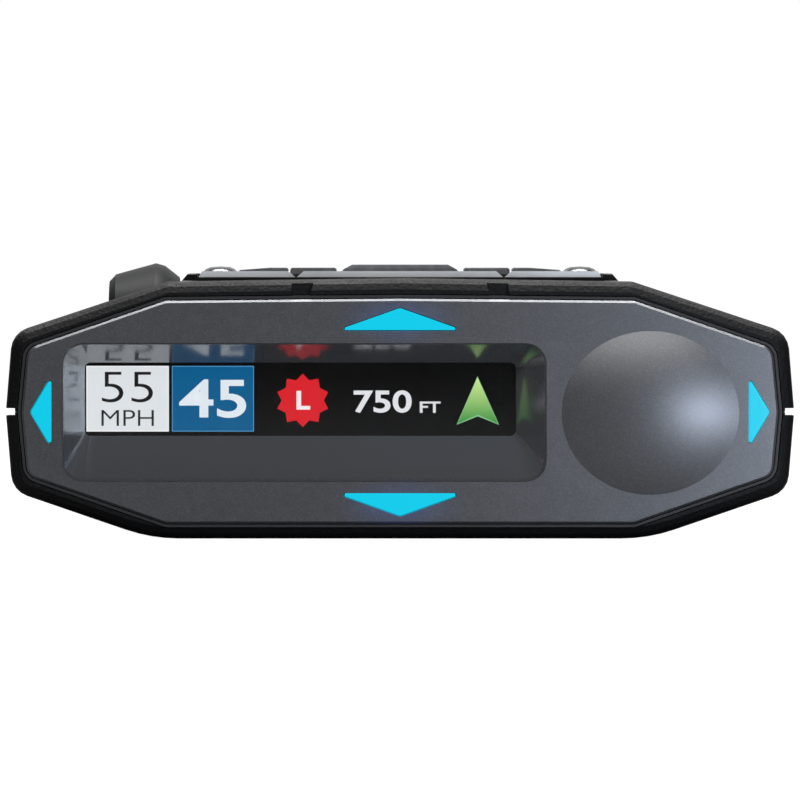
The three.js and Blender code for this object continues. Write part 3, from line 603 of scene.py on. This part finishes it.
def text_plate(name, text, box, front_y, material, boldness):
    """Figures that fill a box (left, bottom, right, top) in metres, standing just off the panel."""
    curve = bpy.data.curves.new(name, "FONT")
    curve.body = text
    curve.offset = boldness
    curve.extrude = 0.05
    curve.resolution_u = 6
    shape = bpy.data.objects.new(f"{name}_shape", curve)
    bpy.context.scene.collection.objects.link(shape)
    bpy.context.view_layer.update()
    mesh = bpy.data.meshes.new_from_object(shape.evaluated_get(bpy.context.evaluated_depsgraph_get()))
    bpy.data.objects.remove(shape)
    bpy.data.curves.remove(curve)
    left, bottom, right, top = box
    low = [min(v.co[axis] for v in mesh.vertices) for axis in range(3)]
    high = [max(v.co[axis] for v in mesh.vertices) for axis in range(3)]
    wide = (right - left) / (high[0] - low[0])
    tall = (top - bottom) / (high[1] - low[1])
    deep = sizes().ink_depth / (high[2] - low[2])
    for vert in mesh.vertices:
        x, y, z = vert.co
        vert.co = (left + (x - low[0]) * wide, front_y + (high[2] - z) * deep, bottom + (y - low[1]) * tall)
    show(mesh, name, "case", material)


# ------------------------------------------------------------------ readouts

# Places on the display in millimetres: left, bottom, right, top from the middle of the case and the seam.
LIMIT_TILE = (-36.5, -2.4, -26.9, 5.3)
LIMIT_FIGURES = (-34.7, 1.02, -28.75, 4.6)
LIMIT_UNIT = (-34.75, -1.73, -28.65, 0.12)
SPEED_TILE = (-26.55, -2.4, -17.0, 5.3)
SPEED_FIGURES = (-25.7, -0.8, -17.9, 3.72)
BADGE_CENTRE = (-11.40, 1.26)
BADGE_RADII = (3.14, 2.48)
BADGE_POINTS = 10
BADGE_LETTER = (-12.05, 0.17, -10.45, 2.37)
RANGE_FIGURES = (-5.4, -0.22, 1.36, 2.44)
RANGE_UNIT = (2.3, -0.2, 4.72, 1.12)
# The readouts lie behind the face, so they are spread a little to keep their place in the window.
SPREAD = 1.007
POINTER = ((6.74, -1.5), (9.12, -0.46), (11.5, -1.5), (9.08, 3.95))
POINTER_MIDDLE = (9.1, 0.9)


def on_display(box):
    left, bottom, right, top = box
    return (left * SPREAD * MM, SEAM_Z + bottom * MM, right * SPREAD * MM, SEAM_Z + top * MM)


def tile_outline(box, inset=0.0):
    left, bottom, right, top = on_display(box)
    gap = inset * MM
    return [
        (left + gap, bottom + gap), (right - gap, bottom + gap),
        (right - gap, top - gap), (left + gap, top - gap),
    ]


def badge_outline():
    outer, inner = BADGE_RADII
    outline = []
    for step in range(BADGE_POINTS * 2):
        angle = math.pi * step / BADGE_POINTS + math.pi / 2
        radius = inner if step % 2 else outer
        x = (BADGE_CENTRE[0] + radius * math.cos(angle)) * MM
        outline.append((x, SEAM_Z + (BADGE_CENTRE[1] + radius * math.sin(angle)) * MM))
    return outline


def pointer_outline(grow):
    """The pointer's outline, or one that stands `grow` millimetres wider round its middle."""
    middle = Vector(POINTER_MIDDLE)
    outline = []
    for corner in POINTER:
        away = Vector(corner) - middle
        x, z = middle + away.normalized() * (away.length + grow)
        outline.append((x * MM, SEAM_Z + z * MM))
    return outline


def build_readouts():
    c = colours()
    depth = sizes().ink_depth
    # The readouts stand in layers in the gap between the panel and the glass.
    layer = (PANEL_BOX[0].y - GLASS_BOX[1].y) / 4
    under_y = PANEL_BOX[0].y - layer
    tile_y = PANEL_BOX[0].y - 2 * layer
    figure_y = PANEL_BOX[0].y - 3.5 * layer
    pale = lit("lit_pale", (0.93, 0.94, 0.95), 1.0)
    blue_edge = lit("lit_blue_edge", (0.08, 0.30, 0.55), 1.0)
    pointer = lit(
        "lit_pointer", tuple(c.pointer_low), 1.0, tuple(c.pointer_high),
        SEAM_Z + POINTER[0][1] * MM, SEAM_Z + POINTER[3][1] * MM,
    )
    plates = (
        ("limit_tile_edge", tile_outline(LIMIT_TILE), under_y, pale),
        ("limit_tile", tile_outline(LIMIT_TILE, 0.13), tile_y, lit("lit_tile", tuple(c.limit_tile), 1.0)),
        ("speed_tile_edge", tile_outline(SPEED_TILE), under_y, blue_edge),
        ("speed_tile", tile_outline(SPEED_TILE, 0.1), tile_y, lit("lit_blue", tuple(c.speed_tile), 1.0)),
        ("badge", badge_outline(), tile_y, lit("lit_alert", tuple(c.alert), 1.0)),
        ("pointer_edge", pointer_outline(0.14), under_y, lit("lit_leaf", (0.35, 0.75, 0.35), 0.8)),
        ("pointer", pointer_outline(-0.04), tile_y, pointer),
    )
    for name, outline, front_y, material in plates:
        plate_from_outline(name, outline, front_y, depth, material)
    ink = lit("lit_ink", (0.02, 0.02, 0.022), 0.4)
    figures = (
        ("limit_figures", "55", LIMIT_FIGURES, ink, -0.012),
        ("limit_unit", "MPH", LIMIT_UNIT, ink, -0.008),
        ("speed_figures", "45", SPEED_FIGURES, lit("lit_figures", (0.80, 0.86, 0.91), 1.0), 0.014),
        ("badge_letter", "L", BADGE_LETTER, lit("lit_letter", (0.95, 0.88, 0.88), 1.0), 0.03),
        ("range_figures", "750", RANGE_FIGURES, lit("lit_range", (0.80, 0.81, 0.82), 1.0), 0.02),
        ("range_unit", "FT", RANGE_UNIT, lit("lit_range_unit", (0.85, 0.85, 0.85), 0.9), 0.02),
    )
    for name, text, box, material, boldness in figures:
        text_plate(name, text, on_display(box), figure_y, material, boldness)


# ------------------------------------------------------------------ stage


def aim(obj, target):
    obj.rotation_euler = (Vector(target) - obj.location).to_track_quat("-Z", "Y").to_euler()


def softbox(name, place, target, width, height, power, colour=(1.0, 1.0, 1.0)):
    """A rectangular light, with its place and size in metres and its power in watts."""
    data = bpy.data.lights.new(name, "AREA")
    data.shape = "RECTANGLE"
    data.size = width
    data.size_y = height
    data.energy = power
    data.color = colour
    light = bpy.data.objects.new(name, data)
    light.location = place
    bpy.context.scene.collection.objects.link(light)
    aim(light, target)


def floor_finish():
    """A dark matt floor that is lifted to the backdrop's white for the camera's own rays."""
    material = moulded("studio_floor", tuple(colours().floor), 0.9, grain=300.0, depth=0.02, tone=0.01)
    tree = material.node_tree
    shader = tree.nodes["Principled BSDF"]
    rays = add_node(tree, "ShaderNodeLightPath").outputs["Is Camera Ray"]
    white = blend_colour(tree, rays, (0.0, 0.0, 0.0), (1.0, 1.0, 1.0))
    tree.links.new(white, shader.inputs["Emission Color"])
    shader.inputs["Emission Strength"].default_value = 1.0
    return material


def build_floor():
    half = 4.0
    work = bmesh.new()
    bmesh.ops.create_grid(work, x_segments=8, y_segments=8, size=half)
    mesh = bpy.data.meshes.new("floor")
    work.to_mesh(mesh)
    work.free()
    floor = bpy.data.objects.new("floor", mesh)
    floor.location.z = CAD_BOX[0].z - FLOOR_GAP
    bpy.context.scene.collection.objects.link(floor)
    mesh.materials.append(floor_finish())


# The world's strength for every ray but the camera's own.
DIM_WHITE = 0.05


def build_world():
    """White behind the object, and a much dimmer white in its light and reflections."""
    world = bpy.data.worlds.new("studio")
    world.use_nodes = True
    bpy.context.scene.world = world
    tree = world.node_tree
    background = tree.nodes["Background"]
    rays = add_node(tree, "ShaderNodeLightPath").outputs["Is Camera Ray"]
    strength = remap(tree, rays, 0.0, 1.0, DIM_WHITE, 1.0)
    background.inputs["Color"].default_value = (1.0, 1.0, 1.0, 1.0)
    tree.links.new(strength, background.inputs["Strength"])


# The view is this many times as wide as the object, and its middle lies this far above the seam.
VIEW_MARGIN = 1.01138
AIM_RISE = 1.4 * MM


def build_camera():
    view_width = (CAD_BOX[1].x - CAD_BOX[0].x) * VIEW_MARGIN
    data = bpy.data.cameras.new("camera")
    data.lens = data.sensor_width * sizes().camera_distance / view_width
    data.clip_end = 20.0
    camera = bpy.data.objects.new("camera", data)
    camera.location = (0.0, CAD_BOX[0].y - sizes().camera_distance, SEAM_Z + sizes().camera_rise)
    bpy.context.scene.collection.objects.link(camera)
    aim(camera, (0.0, LIP_BOX[0].y, SEAM_Z + AIM_RISE))
    bpy.context.scene.camera = camera


# ------------------------------------------------------------------ operators


class Builder(bpy.types.Operator):
    """Base of the build steps."""

    bl_options = {"REGISTER", "UNDO"}

    def build(self):
        raise NotImplementedError

    def execute(self, context):
        self.build()
        return {"FINISHED"}


class DETECTOR_OT_face(Builder):
    """Rounds and finishes the face, its gasket and the lip round it"""

    bl_idname = "detector.face"
    bl_label = "Face and lip"

    def build(self):
        bezel = refined("front_bezel", 0.0, crease=13.0)
        crease_front_outlines(bezel.data)
        refined("face_gasket", sizes().fine_round)
        refined("upper_lip", sizes().edge_round, bevel_above=20.0)
        refined("lower_lip", sizes().edge_round, bevel_above=20.0)


class DETECTOR_OT_arrows(Builder):
    """Finishes the lit arrows and the lights behind them"""

    bl_idname = "detector.arrows"
    bl_label = "Direction arrows"

    def build(self):
        for side in SIDES:
            refined(f"arrow_light_{side}", sizes().edge_round, bevel_above=40.0)
            keep_node(f"arrow_led_{side}")


class DETECTOR_OT_display(Builder):
    """Builds the display's glass, panel and lit readouts"""

    bl_idname = "detector.display"
    bl_label = "Display"

    def build(self):
        refined("display_window", sizes().fine_round)
        refined("display_panel", sizes().fine_round)
        keep_node("display_board")
        build_readouts()


class DETECTOR_OT_case(Builder):
    """Rounds and finishes the case halves and the nose window"""

    bl_idname = "detector.case"
    bl_label = "Case"

    def build(self):
        for node in ("upper_shell", "lower_shell", "nose_window"):
            refined(node, sizes().edge_round, crease=24.0, bevel_above=35.0)


class DETECTOR_OT_keys(Builder):
    """Rounds and finishes the key deck, its strips and the keys"""

    bl_idname = "detector.keys"
    bl_label = "Key deck"

    def build(self):
        refined("control_deck", sizes().fine_round)
        for side in ("left", "centre", "right"):
            refined(f"deck_strip_{side}", 0.0)
        for key in PAD_KEYS:
            refined(f"{key}_key", sizes().edge_round, crease=24.0)
        for key in DOME_KEYS:
            refined(f"{key}_key", 0.0, crease=40.0)
        keep_node("keypad_board")


class DETECTOR_OT_camera_barrel(Builder):
    """Rounds and finishes the tilting camera barrel and its lens"""

    bl_idname = "detector.camera_barrel"
    bl_label = "Camera barrel"

    def build(self):
        refined("camera_barrel", sizes().fine_round, crease=24.0, bevel_above=50.0)
        refined("camera_ring", sizes().fine_round)
        refined("camera_lens", 0.0, crease=50.0)
        refined("camera_pin", sizes().fine_round)


class DETECTOR_OT_fittings(Builder):
    """Rounds and finishes the dock, the sockets, the feet and the screws"""

    bl_idname = "detector.fittings"
    bl_label = "Dock, sockets, feet and screws"

    def build(self):
        ends = [f"{row}_{hand}" for row in ("front", "rear") for hand in ("left", "right")]
        pieces = ["dock_plate", "dock_contacts", "power_jack", "audio_jack", "usb_port", "card_reader"]
        pieces += ["memory_card"] + [f"foot_{end}" for end in ends] + [f"case_screw_{end}" for end in ends]
        for node in pieces:
            refined(node, sizes().fine_round)


class DETECTOR_OT_insides(Builder):
    """Finishes the boards, antennas, laser and speaker inside the case"""

    bl_idname = "detector.insides"
    bl_label = "Insides"

    def build(self):
        for node in (
            "main_board", "rf_module", "front_horn", "rear_horn", "gps_antenna", "laser_lens", "laser_module",
            "speaker",
        ):
            keep_node(node)


class DETECTOR_OT_stage(Builder):
    """Builds the floor, the soft lights, the world and the camera"""

    bl_idname = "detector.stage"
    bl_label = "Stage"

    def build(self):
        build_floor()
        build_world()
        build_camera()
        middle = (0.0, FACE_BOX[0].y, SEAM_Z)
        dome = (0.04, FACE_BOX[0].y, SEAM_Z)
        cool = (0.74, 0.83, 1.0)
        softbox("overhead_softbox", (0.0, 0.04, 0.55), middle, width=0.5, height=0.14, power=5.5)
        softbox("back_softbox", (0.0, 0.75, 0.50), middle, width=1.4, height=0.5, power=2.0)
        softbox("front_softbox", (-0.05, -0.72, 0.52), middle, width=0.8, height=0.12, power=2.7)
        softbox(
            "right_softbox", (0.090, -0.19, 0.014), dome, width=0.05, height=0.024, power=0.075, colour=cool
        )
        bpy.context.scene.view_settings.view_transform = "Standard"


STEPS = (
    DETECTOR_OT_face, DETECTOR_OT_arrows, DETECTOR_OT_display, DETECTOR_OT_case, DETECTOR_OT_keys,
    DETECTOR_OT_camera_barrel, DETECTOR_OT_fittings, DETECTOR_OT_insides, DETECTOR_OT_stage,
)


class DETECTOR_PT_panel(bpy.types.Panel):
    """Lists the build steps and the settings in the sidebar."""

    bl_idname = "DETECTOR_PT_panel"
    bl_label = "Radar Detector"
    bl_space_type = "VIEW_3D"
    bl_region_type = "UI"
    bl_category = "Detector"

    def draw(self, context):
        column = self.layout.column()
        for group in (context.scene.detector_sizes, context.scene.detector_colours):
            for name in group.bl_rna.properties.keys():
                if name not in {"rna_type", "name"}:
                    column.prop(group, name)
        for step in STEPS:
            column.operator(step.bl_idname)


CLASSES = (DetectorSizes, DetectorColours, *STEPS, DETECTOR_PT_panel)


def register():
    for cls in CLASSES:
        bpy.utils.register_class(cls)
    bpy.types.Scene.detector_sizes = bpy.props.PointerProperty(type=DetectorSizes)
    bpy.types.Scene.detector_colours = bpy.props.PointerProperty(type=DetectorColours)


def unregister():
    del bpy.types.Scene.detector_colours
    del bpy.types.Scene.detector_sizes
    for cls in reversed(CLASSES):
        bpy.utils.unregister_class(cls)


def main():
    register()
    for step in STEPS:
        family, action = step.bl_idname.split(".")
        getattr(getattr(bpy.ops, family), action)()


if __name__ == "__main__":
    main()
